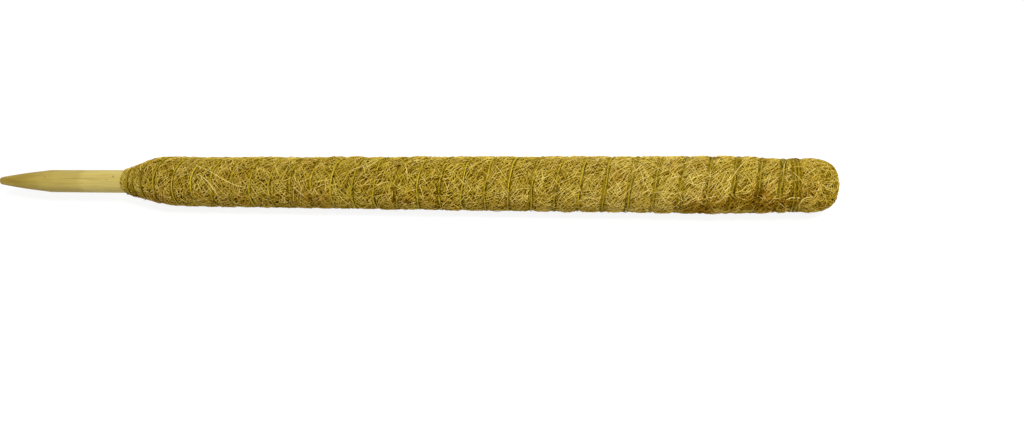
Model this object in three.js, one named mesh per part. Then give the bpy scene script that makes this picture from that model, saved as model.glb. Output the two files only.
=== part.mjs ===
// A moss pole: a round wooden stake with a blunt point, padded with coconut fibre (coir),
// covered by a coir mat that a twine binds on, and closed at its top by a domed coir pad.
// Millimetres, +Z up. The pole lies along X with its point towards -X and rests on Z = 0.
import * as THREE from "three";

// Stake
const TOTAL_LENGTH = 600;
const STAKE_DIAMETER = 17;
const BARE_STAKE = 113; // from the point to the lower edge of the cover
const POINT_LENGTH = 46;
const POINT_FLAT = 5.8; // diameter of the blunt end

// Coir cover
const COVER_DIAMETER = 35.4;
const MAT_THICKNESS = 5;
const NECK_LENGTH = 39; // over which the cover swells from the stake to its full size
const NECK_WALL = 0.9; // of the mat at its lower edge
const NECK_SWELL = 1.25; // above 1 the neck starts leaner
const TOP_DRAW = 1.4; // how far the close turns under the dome draw the cover's radius in
const TOP_TAPER = 50;
const DOME_LENGTH = 22.3;
const DOME_FULLNESS = 2.5; // 2 is an ellipse, more is squarer
const PLUG_DEPTH = 11; // how far the end pad reaches into the mat

// Twine
const TWINE_DIAMETER = 1.2;
const WINDING_PITCH = 15.08;
const GROOVE_WIDTH = 2.2; // flat floor that the twine presses into the mat
const GROOVE_FLANK = 2.5; // from the floor's edge to the crown
const FLOOR_SHARE = 0.22; // most of a close turn's pitch that half the floor takes
const FLANK_SHARE = 0.18; // most of a close turn's pitch that a flank takes
const CROWN_STAND = 0.2; // how far the fibre swells past the twine
const NECK_TURNS = 4; // turns that open out from the neck
const NECK_FIRST_PITCH = 5;
const NECK_EDGE = 5; // from the mat's lower edge to the first turn
const BODY_TURNS = 24; // even turns in the longest piece of twine; any more go to the neck lashing
const GATHER_TURNS = 2; // turns that close up towards the top
const GATHER_FIRST_PITCH = 13;
const GATHER_LAST_PITCH = 11;
const CLOSE_TURNS = 2; // turns laid side by side at the top
const CLOSE_PITCH = 2.1;
const TOP_EDGE = 1.6; // from the last turn to the mat's upper edge

// Fits
const SEAT_GAP = 0.3; // between pieces that bear on each other
const JOIN_GAP = 0.5; // between two lengths of twine that follow each other

// Facets
const SIDES = 20; // round the pole; the lowest facet lies flat on the floor
const STAKE_SIDES = 32;
const TWINE_SIDES = 6;
const DOME_STEPS = 8;
const NECK_STEPS = 8;

const facetShare = Math.cos(Math.PI / SIDES); // flat of a facet over its corner radius
const coverRadius = COVER_DIAMETER / 2;
const topRadius = coverRadius - TOP_DRAW;
const stakeRadius = STAKE_DIAMETER / 2;
const twineRadius = TWINE_DIAMETER / 2;
const boreRadius = (stakeRadius + SEAT_GAP) / facetShare;
const insideRadius = coverRadius - MAT_THICKNESS - SEAT_GAP; // of what the mat wraps
const axisHeight = coverRadius * facetShare;
const grooveDepth = CROWN_STAND + TWINE_DIAMETER + SEAT_GAP;
const domeStart = TOTAL_LENGTH - DOME_LENGTH;
const matStart = BARE_STAKE;
const matEnd = domeStart - SEAT_GAP;
const plugStart = domeStart - PLUG_DEPTH;
const stakeTop = plugStart - SEAT_GAP;

const WOOD = { color: 0xd8c27c, roughness: 0.75, metalness: 0 };
const COIR = { color: 0xa5852f, roughness: 0.95, metalness: 0 };
const TWINE = { color: 0xa8922a, roughness: 0.6, metalness: 0 };

// Pitch of each turn of the twine, from the neck to the top
function easedPitches(count, from, to) {
  const ratio = Math.pow(to / from, 1 / Math.max(1, count - 1));
  return Array.from({ length: count }, (_, k) => from * Math.pow(ratio, k));
}
const sum = (list) => list.reduce((total, value) => total + value, 0);
const neckPitches = easedPitches(NECK_TURNS, NECK_FIRST_PITCH, WINDING_PITCH);
const gatherPitches = easedPitches(GATHER_TURNS, GATHER_FIRST_PITCH, GATHER_LAST_PITCH);
const closePitches = Array(CLOSE_TURNS).fill(CLOSE_PITCH);
const windingStart = matStart + NECK_EDGE;
const windingEnd = matEnd - TOP_EDGE;
const evenSpan = windingEnd - windingStart - sum(neckPitches) - sum(gatherPitches) - sum(closePitches);
const evenTurns = Math.max(1, Math.round(evenSpan / WINDING_PITCH));
const evenPitches = Array(evenTurns).fill(evenSpan / evenTurns);
const pitches = [...neckPitches, ...evenPitches, ...gatherPitches, ...closePitches];
const turnStarts = pitches.reduce((list, pitch) => [...list, list.at(-1) + pitch], [windingStart]);
const bodyFirst = NECK_TURNS + Math.max(0, evenTurns - BODY_TURNS);
const gatherFirst = NECK_TURNS + evenTurns;
const closeFirst = gatherFirst + GATHER_TURNS;
const allTurns = closeFirst + CLOSE_TURNS;

// Distance from the point of the stake to the twine after so many turns
function twineAt(turns) {
  const turn = Math.min(Math.max(Math.floor(turns), 0), allTurns - 1);
  return turnStarts[turn] + (turns - turn) * pitches[turn];
}

// Radius of the cover as it swells over the neck, before the close turns draw it in
function swellRadius(x) {
  const neckEdge = boreRadius + NECK_WALL;
  const neck = Math.min(Math.max((x - matStart) / NECK_LENGTH, 0), 1);
  return neckEdge + (coverRadius - neckEdge) * Math.sin((Math.PI / 2) * Math.pow(neck, NECK_SWELL));
}

// Radius of the coir cover between two turns of twine
function crownRadius(x) {
  const drawn = Math.min(Math.max((x - (matEnd - TOP_TAPER)) / TOP_TAPER, 0), 1);
  return swellRadius(x) - TOP_DRAW * drawn * drawn * (3 - 2 * drawn);
}

// Radius of the groove floor under the twine; the mat keeps its wall where the neck is thin
function floorRadius(x) {
  return Math.max(crownRadius(x) - grooveDepth, boreRadius + NECK_WALL);
}

// Inside of the mat: on the stake at the neck, on the padding above it
function matBore(x) {
  return Math.max(swellRadius(x) - MAT_THICKNESS, boreRadius);
}

// Places over the neck where the inside of the mat and the padding have a ring of corners
const neckStep = NECK_LENGTH / NECK_STEPS;
const neckStations = Array.from({ length: NECK_STEPS + 1 }, (_, k) => matStart + neckStep * k);

const columnAngle = (column) => -Math.PI / 2 - (Math.PI / SIDES) * (2 * column - 1);

// The mat: a tube whose outside carries the twine's groove as a screw thread
function matGeometry() {
  const positions = [];
  const triangles = [];
  const addVertex = (x, radius, column) => {
    const angle = columnAngle(column);
    positions.push(x, radius * Math.cos(angle), radius * Math.sin(angle));
    return positions.length / 3 - 1;
  };
  const ring = (x, radius) => Array.from({ length: SIDES }, (_, column) => addVertex(x, radius, column));
  const fan = (apex, rim) => {
    for (let k = 0; k + 1 < rim.length; k++) triangles.push(apex, rim[k + 1], rim[k]);
  };
  const strip = (low, high, first, last) => {
    for (let column = first; column < last; column++) {
      const [a, b] = [low(column), low(column + 1)];
      const [c, d] = [high(column + 1), high(column)];
      triangles.push(a, c, b, a, d, c);
    }
  };

  // Four lines run along each turn: the two edges of the groove floor and the two of the crown
  const FLOOR_START = 0;
  const LINES = 4;
  const floorHalf = GROOVE_WIDTH / 2;
  const made = new Map();
  const line = (turn, kind, column) => {
    if (column === SIDES) return line(turn + 1, kind, 0);
    const key = (turn * LINES + kind) * SIDES + column;
    if (!made.has(key)) {
      const turns = turn + column / SIDES;
      const groove = twineAt(turns);
      const pitch = twineAt(turns + 1) - groove;
      const half = Math.min(floorHalf, pitch * FLOOR_SHARE);
      const flank = half + Math.min(GROOVE_FLANK, pitch * FLANK_SHARE);
      const x = groove + [-half, half, flank, pitch - flank][kind];
      const onFloor = kind <= 1;
      made.set(key, addVertex(x, onFloor ? floorRadius(groove) : crownRadius(x), column));
    }
    return made.get(key);
  };
  const lineOf = (index) => (column) => line(Math.floor(index / LINES), index % LINES, column);
  const lastLine = (closeFirst - 1) * LINES + 1;

  // Lower edge, and the wedge where the first turn runs out of it
  const lowerEdge = ring(matStart, crownRadius(matStart));
  const lowerAt = (column) => lowerEdge[column % SIDES];
  strip(lowerAt, lineOf(FLOOR_START), 0, SIDES - 1);
  const firstTurn = Array.from({ length: LINES + 1 }, (_, index) => lineOf(index)(0));
  fan(lowerEdge[SIDES - 1], [lowerEdge[0], ...firstTurn, lineOf(FLOOR_START)(SIDES - 1)]);

  // Grooved length
  for (let index = 0; index < lastLine; index++) strip(lineOf(index), lineOf(index + 1), 0, SIDES);

  // Plain band under the close turns, and the wedge where the last open turn runs into it
  const bandRadius = floorRadius(twineAt(closeFirst));
  const bandStart = ring(twineAt(closeFirst) + floorHalf + SEAT_GAP, bandRadius);
  const bandAt = (column) => bandStart[column % SIDES];
  strip(lineOf(lastLine), bandAt, 1, SIDES);
  const lastTurn = Array.from({ length: LINES + 1 }, (_, index) => lineOf(lastLine + index)(0)).reverse();
  fan(lineOf(lastLine)(1), [bandStart[1], bandStart[0], ...lastTurn]);

  // Upper edge and the bore, back down to the lower edge
  const upperEdge = ring(matEnd, bandRadius);
  const bore = [...neckStations, matEnd].reverse().map((x) => ring(x, matBore(x)));
  const rings = [bandStart, upperEdge, ...bore, lowerEdge];
  for (let k = 0; k + 1 < rings.length; k++) {
    strip((column) => rings[k][column % SIDES], (column) => rings[k + 1][column % SIDES], 0, SIDES);
  }

  const geometry = new THREE.BufferGeometry();
  geometry.setAttribute("position", new THREE.Float32BufferAttribute(positions, 3));
  geometry.setIndex(triangles);
  geometry.computeVertexNormals();
  return geometry;
}

// Centreline of the twine from one count of turns to another, on the same facets as the mat
function twinePath(fromTurn, toTurn) {
  const bandRadius = floorRadius(twineAt(closeFirst));
  const pointAt = (turns) => {
    const x = twineAt(turns);
    const seat = turns >= closeFirst ? bandRadius : floorRadius(x);
    const radius = seat + SEAT_GAP + twineRadius;
    const angle = columnAngle(turns * SIDES);
    return new THREE.Vector3(x, radius * Math.cos(angle), radius * Math.sin(angle));
  };
  const points = [];
  for (let step = fromTurn * SIDES; step <= toTurn * SIDES; step++) points.push(pointAt(step / SIDES));
  const trim = (end, next) => end.add(next.clone().sub(end).setLength(JOIN_GAP / 2));
  trim(points[0], points[1]);
  trim(points.at(-1), points.at(-2));
  return points;
}

// Least distance between two turns of a twine, surface to surface
function leastGap(points) {
  let least = Infinity;
  for (let i = 0; i < points.length; i++) {
    for (let k = i + SIDES / 2; k < points.length; k++) {
      least = Math.min(least, points[i].distanceTo(points[k]));
    }
  }
  return least - TWINE_DIAMETER;
}

// A closed tube along a winding; each section stands on the pole's radius
function windingGeometry(points) {
  const positions = [];
  const triangles = [];
  points.forEach((point, k) => {
    const before = points[Math.max(k - 1, 0)];
    const after = points[Math.min(k + 1, points.length - 1)];
    const along = after.clone().sub(before).normalize();
    const outward = new THREE.Vector3(0, point.y, point.z);
    outward.addScaledVector(along, -outward.dot(along)).normalize();
    const across = along.clone().cross(outward);
    for (let side = 0; side < TWINE_SIDES; side++) {
      const angle = (2 * Math.PI * side) / TWINE_SIDES;
      const corner = point.clone();
      corner.addScaledVector(outward, twineRadius * Math.cos(angle));
      corner.addScaledVector(across, twineRadius * Math.sin(angle));
      positions.push(corner.x, corner.y, corner.z);
    }
  });
  for (let k = 0; k + 1 < points.length; k++) {
    for (let side = 0; side < TWINE_SIDES; side++) {
      const [a, b] = [k * TWINE_SIDES + side, k * TWINE_SIDES + ((side + 1) % TWINE_SIDES)];
      triangles.push(a, b, b + TWINE_SIDES, a, b + TWINE_SIDES, a + TWINE_SIDES);
    }
  }
  const lastRing = (points.length - 1) * TWINE_SIDES;
  for (let side = 1; side + 1 < TWINE_SIDES; side++) {
    triangles.push(0, side + 1, side, lastRing, lastRing + side, lastRing + side + 1);
  }
  const geometry = new THREE.BufferGeometry();
  geometry.setAttribute("position", new THREE.Float32BufferAttribute(positions, 3));
  geometry.setIndex(triangles);
  geometry.computeVertexNormals();
  return geometry;
}

// A turned solid along X from [distance along the pole, radius] pairs
function turned(profile, sides) {
  const points = profile.map(([x, radius]) => new THREE.Vector2(radius, x));
  const geometry = new THREE.LatheGeometry(points, sides, Math.PI / sides, 2 * Math.PI);
  return geometry.rotateZ(-Math.PI / 2);
}

function stakeGeometry() {
  return turned(
    [
      [0, 0],
      [0, POINT_FLAT / 2],
      [POINT_LENGTH, stakeRadius],
      [stakeTop, stakeRadius],
      [stakeTop, 0],
    ],
    STAKE_SIDES,
  );
}

// Padding between the stake and the mat, thinned where the mat draws in at the neck
function coreGeometry() {
  const thinnest = boreRadius + NECK_WALL;
  const rings = neckStations.map((x) => [x, matBore(x) - SEAT_GAP]);
  const outside = rings.filter(([, radius]) => radius > thinnest);
  const [start] = outside[0];
  const profile = [[start, boreRadius], ...outside, [stakeTop, insideRadius], [stakeTop, boreRadius]];
  return turned([...profile, profile[0]], SIDES);
}

// Wad of coir that closes the top: a plug inside the mat and a full dome outside it
function padGeometry() {
  const dome = Array.from({ length: DOME_STEPS }, (_, k) => {
    const share = Math.sin((Math.PI / 2) * (k / DOME_STEPS));
    const radius = topRadius * Math.pow(1 - Math.pow(share, DOME_FULLNESS), 1 / DOME_FULLNESS);
    return [domeStart + DOME_LENGTH * share, radius];
  });
  const plug = [
    [plugStart, 0],
    [plugStart, insideRadius],
    [domeStart, insideRadius],
  ];
  return turned([...plug, ...dome, [TOTAL_LENGTH, 0]], SIDES);
}

const pole = new THREE.Group();
pole.position.set(-TOTAL_LENGTH / 2, 0, axisHeight);

function addPiece(name, geometry, look) {
  const mesh = new THREE.Mesh(geometry, new THREE.MeshStandardMaterial(look));
  mesh.name = name;
  pole.add(mesh);
}

addPiece("stake", stakeGeometry(), WOOD);
addPiece("coir_core", coreGeometry(), COIR);
addPiece("coir_mat", matGeometry(), COIR);
addPiece("end_pad", padGeometry(), COIR);

const windings = [
  ["neck_lashing", 0, bodyFirst],
  ["body_winding", bodyFirst, gatherFirst],
  ["top_lashing", gatherFirst, allTurns],
];
for (const [name, fromTurn, toTurn] of windings) {
  const points = twinePath(fromTurn, toTurn);
  console.log(`${name}: ${toTurn - fromTurn} turns, least gap to itself ${leastGap(points).toFixed(2)} mm`);
  addPiece(name, windingGeometry(points), TWINE);
}

const part = new THREE.Group();
part.add(pole);
export default part;
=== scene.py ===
# %% [markdown]
# # A coir moss pole
# A moss pole holds up a climbing plant. A round wooden stake is padded with coconut fibre, called
# coir, and a twine wound from end to end binds the fibre on. The solids give the sizes, and this
# lesson dresses them: turned wood, a bed of matted fibre, thousands of single fibres, and the twine.

# %% Load the solids
import math
import bpy
import numpy as np
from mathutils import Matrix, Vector


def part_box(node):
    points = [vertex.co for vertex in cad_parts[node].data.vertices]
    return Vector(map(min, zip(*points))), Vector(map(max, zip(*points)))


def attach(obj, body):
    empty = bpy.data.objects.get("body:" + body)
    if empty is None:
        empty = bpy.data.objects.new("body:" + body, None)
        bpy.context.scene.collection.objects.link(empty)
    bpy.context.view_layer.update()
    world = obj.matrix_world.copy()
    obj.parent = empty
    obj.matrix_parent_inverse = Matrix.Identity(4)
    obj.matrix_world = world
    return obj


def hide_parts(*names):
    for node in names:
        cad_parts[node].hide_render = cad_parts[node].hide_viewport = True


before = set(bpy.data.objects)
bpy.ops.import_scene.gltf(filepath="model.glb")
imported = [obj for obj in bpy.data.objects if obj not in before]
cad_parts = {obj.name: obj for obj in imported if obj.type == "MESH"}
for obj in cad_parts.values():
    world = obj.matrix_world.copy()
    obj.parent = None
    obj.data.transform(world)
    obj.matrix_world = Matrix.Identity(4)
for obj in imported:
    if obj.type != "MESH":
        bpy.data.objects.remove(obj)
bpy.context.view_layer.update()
print("solids:", sorted(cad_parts))

# %% [markdown]
# ## Where things are
# The pole lies along X with its point towards -X. Lengths along the pole are counted in millimetres
# from the point, because that is how a maker would measure it, and are turned into metres at the end.
# Angles round the pole are 0 at the back, 90 degrees on top and 180 degrees at the front.

# %% Measure the solids
MM = 0.001
stake_low, stake_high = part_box("stake")
mat_low, mat_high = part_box("coir_mat")
pad_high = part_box("end_pad")[1]
TIP_X = stake_low.x
AXIS_Z = (stake_low.z + stake_high.z) / 2
STAKE_R = (stake_high.z - stake_low.z) / 2 / MM
LENGTH = (pad_high.x - TIP_X) / MM
MAT_START = (mat_low.x - TIP_X) / MM
MAT_END = (mat_high.x - TIP_X) / MM
STAKE_TOP = (stake_high.x - TIP_X) / MM
print(f"length {LENGTH:.1f} mm, axis {AXIS_Z / MM:.2f} mm above the floor")
print(f"cover from {MAT_START:.1f} to {MAT_END:.1f} mm")

# %% [markdown]
# ## The camera
# The photograph was taken from close by, in front of the pole and above it. The even turns of twine
# look wider towards the top end, which gives the lens and the place of the camera.

# %% Place the camera
CAMERA_PLACE = (0.20636, -0.29970, 0.37465)
CAMERA_TURN = (38.62, 9.449, 8.477)
scene = bpy.context.scene
camera_data = bpy.data.cameras.new("camera")
camera_data.lens = 25.87
camera_data.sensor_width = 36.0
camera = bpy.data.objects.new("camera", camera_data)
camera.location = CAMERA_PLACE
camera.rotation_euler = [math.radians(angle) for angle in CAMERA_TURN]
scene.collection.objects.link(camera)
scene.camera = camera
print("camera at", CAMERA_PLACE)

# %% [markdown]
# ## Shader maths as plain expressions
# A material is a tree of nodes. `Value` wraps one output of a node, so that `1 + mask * 0.5` adds the
# Math nodes by itself. `Finish` makes a material and adds every other kind of node by one method.
# Sockets of the Mix node share their names, so they go by number.

# %% Helpers for materials
MIX_FACTOR = 0
MIX_FIRST = 6
MIX_SECOND = 7
MIX_COLOUR = 2


class Value:
    """One output of a node; arithmetic on it adds Math nodes."""

    def __init__(self, finish, socket):
        self.finish = finish
        self.socket = socket

    def _math(self, operation, other):
        return self.finish.node("ShaderNodeMath", {"operation": operation}, {0: self, 1: other})

    def __add__(self, other):
        return self._math("ADD", other)

    __radd__ = __add__

    def __sub__(self, other):
        return self._math("SUBTRACT", other)

    def __mul__(self, other):
        return self._math("MULTIPLY", other)

    def clamped(self):
        return self.finish.node("ShaderNodeClamp", {}, {"Value": self})


class Finish:
    """A material, or the world, and the nodes that feed its shader."""

    def __init__(self, name, library=bpy.data.materials, shader="Principled BSDF"):
        self.material = library.new(name)
        self.material.use_nodes = True
        self.tree = self.material.node_tree
        self.shader = self.tree.nodes[shader]

    def node(self, kind, settings=None, inputs=None, output=0):
        """Adds a node and gives back one of its outputs, by number or by name."""
        made = self.tree.nodes.new(kind)
        for key, value in (settings or {}).items():
            if key == "stops":
                self._set_stops(made.color_ramp, value)
            else:
                setattr(made, key, value)
        for key, value in (inputs or {}).items():
            self.feed(made.inputs[key], value)
        return Value(self, made.outputs[output])

    def _set_stops(self, ramp, stops):
        while len(ramp.elements) < len(stops):
            ramp.elements.new(1.0)
        for element, (position, colour) in zip(ramp.elements, stops):
            element.position = position
            element.color = (*colour, 1.0)

    def feed(self, socket, value):
        if isinstance(value, Value):
            self.tree.links.new(value.socket, socket)
        else:
            socket.default_value = value

    def set(self, **sockets):
        for key, value in sockets.items():
            self.feed(self.shader.inputs[key.replace("_", " ")], value)

    def object_spot(self):
        """The place on the object, in metres."""
        return self.node("ShaderNodeTexCoord", output="Object")

    def part(self, vector, axis):
        """One of the three numbers of a vector."""
        return self.node("ShaderNodeSeparateXYZ", {}, {"Vector": vector}, axis)

    def mix(self, factor, first, second):
        settings = {"data_type": "RGBA", "clamp_factor": True}
        inputs = {MIX_FACTOR: factor, MIX_FIRST: first, MIX_SECOND: second}
        return self.node("ShaderNodeMix", settings, inputs, MIX_COLOUR)

    def ramp(self, factor, *stops):
        return self.node("ShaderNodeValToRGB", {"stops": stops}, {"Fac": factor})

    def noise(self, spot, scale, detail=2.0, output=0):
        inputs = {"Vector": spot, "Scale": scale, "Detail": detail}
        return self.node("ShaderNodeTexNoise", {}, inputs, output)

    def rise(self, value, start, end):
        """0 before start, 1 after end, with a soft passage between."""
        settings = {"interpolation_type": "SMOOTHSTEP"}
        inputs = {"Value": value, "From Min": start, "From Max": end}
        return self.node("ShaderNodeMapRange", settings, inputs)

    def bump(self, height, strength, distance):
        inputs = {"Strength": strength, "Distance": distance, "Height": height}
        return self.node("ShaderNodeBump", {}, inputs)


def srgb(red, green, blue):
    """A colour as it looks on screen, 0 to 255, as the linear colour that Blender wants."""
    shares = [value / 255 for value in (red, green, blue)]
    return tuple(v / 12.92 if v <= 0.04045 else ((v + 0.055) / 1.055) ** 2.4 for v in shares)


def rgba(red, green, blue):
    return (*srgb(red, green, blue), 1.0)


print("middle grey is", [round(v, 3) for v in srgb(128, 128, 128)])

# %% [markdown]
# ## Floor and light
# The pole lies on plain white paper in soft light. The key lamp hangs high up near the top end, a
# broad lamp fills the front, and a weak one keeps the back from going dark. Paper bounces light back
# up under the pole, so it is a pale surface to every other ray. To the rays of the eye it is lifted
# to white, as an overexposed sheet looks, with only a trace of the pole's shadow left on it. Far off,
# where the lamps fade, it glows a little more, so that it stays white in low views too.

# %% Make the floor
FLOOR_DROP = 0.0002
FLOOR_GLOW = 0.87
FAR_GLOW = 0.15
FAR_SPAN = (0.6, 1.6)
BOUNCE_GREY = (0.57, 0.57, 0.57, 1.0)
SEEN_GREY = (0.17, 0.17, 0.17, 1.0)
bpy.ops.object.select_all(action="DESELECT")
bpy.ops.mesh.primitive_plane_add(size=6.0, location=(0, 0, -FLOOR_DROP))
floor = bpy.context.object
floor.name = "floor"


def eye_rays(finish):
    """1 for the rays by which the eye sees a thing: straight, in a reflection or through glass."""
    kinds = ("Is Camera Ray", "Is Glossy Ray", "Is Transmission Ray")
    straight, mirrored, through = [finish.node("ShaderNodeLightPath", output=kind) for kind in kinds]
    return (straight + mirrored + through).clamped()


paper = Finish("floor_paper")
seen = eye_rays(paper)
spot = paper.object_spot()
away = paper.node("ShaderNodeVectorMath", {"operation": "LENGTH"}, {0: spot}, "Value")
glow = seen * (1 + paper.rise(away, *FAR_SPAN) * FAR_GLOW)
paper.set(Base_Color=paper.mix(seen, BOUNCE_GREY, SEEN_GREY), Roughness=0.9, Specular_IOR_Level=0.0)
paper.set(Emission_Color=glow, Emission_Strength=FLOOR_GLOW)
floor.data.materials.append(paper.material)
print("floor of", paper.material.name)

# %% [markdown]
# Each lamp is a disc, which gives a soft edge to the shadow. The surround is white to the eye and
# only dim as a light, so the shadows keep their depth.

# %% Make the lights
LAMPS = (
    ("key_lamp", (0.65, -0.22, 1.3), (0.05, 0, 0), 0.45, 22),
    ("front_lamp", (0.85, -0.95, 0.8), (0.15, 0, 0), 1.0, 6),
    ("back_lamp", (0.1, 1.3, 0.4), (0, 0, 0), 0.8, 4.5),
)
AMBIENT = 0.3
for name, stand, target, size, watts in LAMPS:
    lamp_data = bpy.data.lights.new(name, "AREA")
    lamp_data.shape = "DISK"
    lamp_data.size = size
    lamp_data.energy = watts
    lamp = bpy.data.objects.new(name, lamp_data)
    lamp.location = stand
    lamp.rotation_mode = "QUATERNION"
    lamp.rotation_quaternion = Vector(np.subtract(target, stand)).to_track_quat("-Z", "Y")
    scene.collection.objects.link(lamp)
studio = Finish("studio", bpy.data.worlds, "Background")
studio.set(Color=(1.0, 1.0, 1.0, 1.0), Strength=AMBIENT + eye_rays(studio) * (1 - AMBIENT))
scene.world = studio.material
scene.view_settings.view_transform = "Standard"
print(len(LAMPS), "lamps and a white surround")

# %% [markdown]
# ## The law of the winding
# The twine starts tight at the neck, opens out to even turns along the pole, and closes up again
# under the dome. Everything else follows it: the fibre swells between two turns and is pressed in
# under them. These are the same numbers as in the solids.

# %% Turns of the twine
COVER_R = 17.7
NECK_LENGTH = 39.0
NECK_EDGE_R = 9.81
NECK_SWELL = 1.25
TOP_DRAW = 1.4
TOP_TAPER = 50.0
TWINE_R = 0.6
SEAT_GAP = 0.3
GROOVE_DEPTH = 1.7
WINDING_PITCH = 15.08
NECK_TURNS = 4
NECK_PITCH = 5.0
GATHER_TURNS = 2
GATHER_PITCH = 13.0
GATHERED_PITCH = 11.0
CLOSE_TURNS = 2
CLOSE_PITCH = 2.1
START_INSET = 5.0
END_INSET = 1.6
LONGEST_WINDING = 24
FACETS = 20


def eased_pitches(count, first, last):
    return first * (last / first) ** (np.arange(count) / (count - 1))


neck_pitches = eased_pitches(NECK_TURNS, NECK_PITCH, WINDING_PITCH)
gather_pitches = eased_pitches(GATHER_TURNS, GATHER_PITCH, GATHERED_PITCH)
close_pitches = np.full(CLOSE_TURNS, CLOSE_PITCH)
winding_start = MAT_START + START_INSET
winding_end = MAT_END - END_INSET
uneven_span = sum(map(np.sum, (neck_pitches, gather_pitches, close_pitches)))
even_span = winding_end - winding_start - uneven_span
even_turns = round(even_span / WINDING_PITCH)
even_pitches = np.full(even_turns, even_span / even_turns)
pitches = np.concatenate([neck_pitches, even_pitches, gather_pitches, close_pitches])
turn_places = np.concatenate([[winding_start], winding_start + np.cumsum(pitches)])
BODY_FIRST = NECK_TURNS + max(0, even_turns - LONGEST_WINDING)
GATHER_FIRST = NECK_TURNS + even_turns
CLOSE_FIRST = GATHER_FIRST + GATHER_TURNS
ALL_TURNS = len(pitches)
PHASE = -math.pi / 2 + math.pi / FACETS


def twine_at(turns):
    return np.interp(turns, np.arange(ALL_TURNS + 1), turn_places)


def turns_at(along):
    return np.interp(along, turn_places, np.arange(ALL_TURNS + 1))


print(f"{ALL_TURNS} turns, {even_turns} of them even at {even_pitches[0]:.2f} mm")

# %% [markdown]
# ## The shape of the cover
# `crown` is the plain outline: it swells from the stake at the neck and draws in under the dome.
# `lean` makes the neck a little fuller on one side, as hand-wound padding is, and `seat` is the floor
# of the furrow that the twine lies in.

# %% Outline of the cover
NECK_LEAN = 1.15
LEAN_ANGLE = math.radians(45)
LEAN_MIDDLE = MAT_START + 27.0
LEAN_SPREAD = 16.0


def soft_step(value, start, end):
    share = np.clip((value - start) / (end - start), 0, 1)
    return share * share * (3 - 2 * share)


def bell(value, spread):
    return np.exp(-((value / spread) ** 2))


def crown(along):
    neck = np.clip((along - MAT_START) / NECK_LENGTH, 0, 1)
    swell = np.sin(math.pi / 2 * neck**NECK_SWELL)
    drawn = soft_step(along, MAT_END - TOP_TAPER, MAT_END)
    return NECK_EDGE_R + (COVER_R - NECK_EDGE_R) * swell - TOP_DRAW * drawn


def lean(along, angle):
    """The padding of the neck sits a little fuller on the far upper side."""
    return NECK_LEAN * bell(along - LEAN_MIDDLE, LEAN_SPREAD) * np.cos(angle - LEAN_ANGLE)


def seat(along, angle):
    """Radius of the furrow's floor under the twine."""
    band = crown(turn_places[CLOSE_FIRST]) - GROOVE_DEPTH
    floor_radius = np.maximum(crown(along) + lean(along, angle) - GROOVE_DEPTH, NECK_EDGE_R)
    return np.where(along >= turn_places[CLOSE_FIRST], band, floor_radius)


HALF_WAY = 300.0
print(f"cover is {2 * crown(HALF_WAY):.1f} mm across half way along the pole")
print(f"and {2 * float(seat(HALF_WAY, 0.0)):.1f} mm under the twine")

# %% [markdown]
# `skin` adds what the hand of the maker left: soft lumps, a hollow beside each turn of twine that
# deepens towards the top, and the narrow furrow that the twine itself cuts. The lumps are a sum of
# waves with random sizes, from a seed, so that every run gives the same pole.

# %% Skin of the cover
SEED = 7
WAVES = 30
WAVE_SIZES = (0.4, 1.0)
TIGHT_SPAN = (400.0, 500.0)
PILE = 0.35
FURROW = 1.0
FURROW_MORE = 0.5
HOLLOW = 2.8
HOLLOW_NECK = 0.05
HOLLOW_BODY = 0.15
HOLLOW_TOP = 0.35
HOLLOW_SPAN = (MAT_START + 20, MAT_START + 80)
LUMP_HEIGHT = 0.14
FLOOR_CLEAR = 0.0001
rng = np.random.default_rng(SEED)


def wave_field(most_around, shortest, longest):
    """A smooth random field on the cover, with a spread of about 1, as a sum of waves."""
    around = rng.integers(0, most_around, WAVES)
    along_rate = math.tau / rng.uniform(shortest, longest, WAVES) * rng.choice([-1, 1], WAVES)
    phase = rng.uniform(0, math.tau, WAVES)
    size = rng.uniform(*WAVE_SIZES, WAVES)
    size /= math.sqrt((size**2).sum() / 2)

    def field(along, angle):
        total = np.zeros(np.broadcast(along, angle).shape)
        for k in range(WAVES):
            total += size[k] * np.cos(around[k] * angle + along_rate[k] * along + phase[k])
        return total

    return field


lumps = wave_field(most_around=6, shortest=14, longest=90)


def twine_distance(along, angle):
    """Distance in millimetres along the pole from a place on the cover to the nearest turn."""
    phase = (PHASE - angle) / math.tau
    turns = turns_at(along)
    nearest = np.round(turns - phase) + phase
    nearest = np.where(nearest < 0, nearest + 1, nearest)
    nearest = np.where(nearest > ALL_TURNS, nearest - 1, nearest)
    return np.abs(along - twine_at(nearest))


def tightness(along):
    """0 along most of the pole, 1 towards the top, where the twine draws the fibre in."""
    return soft_step(along, *TIGHT_SPAN)


def skin(along, angle):
    """Radius of the fibre's surface at a place along and round the pole."""
    distance = twine_distance(along, angle)
    tight = tightness(along)
    depth = HOLLOW_NECK + HOLLOW_BODY * soft_step(along, *HOLLOW_SPAN) + HOLLOW_TOP * tight
    hollow = depth * bell(distance, HOLLOW)
    free = crown(along) + lean(along, angle) - PILE - hollow + LUMP_HEIGHT * lumps(along, angle)
    press = bell(distance, FURROW + FURROW_MORE * tight)
    return free + (np.minimum(seat(along, angle), free) - free) * press


def place(along, angle, radius):
    """Points in metres, never below the floor."""
    points = np.stack([
        TIP_X + along * MM,
        radius * np.cos(angle) * MM,
        AXIS_Z + radius * np.sin(angle) * MM,
    ], axis=-1)
    points[..., 2] = np.maximum(points[..., 2], FLOOR_CLEAR)
    return points


print(f"skin on top at half way: {float(skin(HALF_WAY, math.pi / 2)):.2f} mm from the axis")

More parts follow.
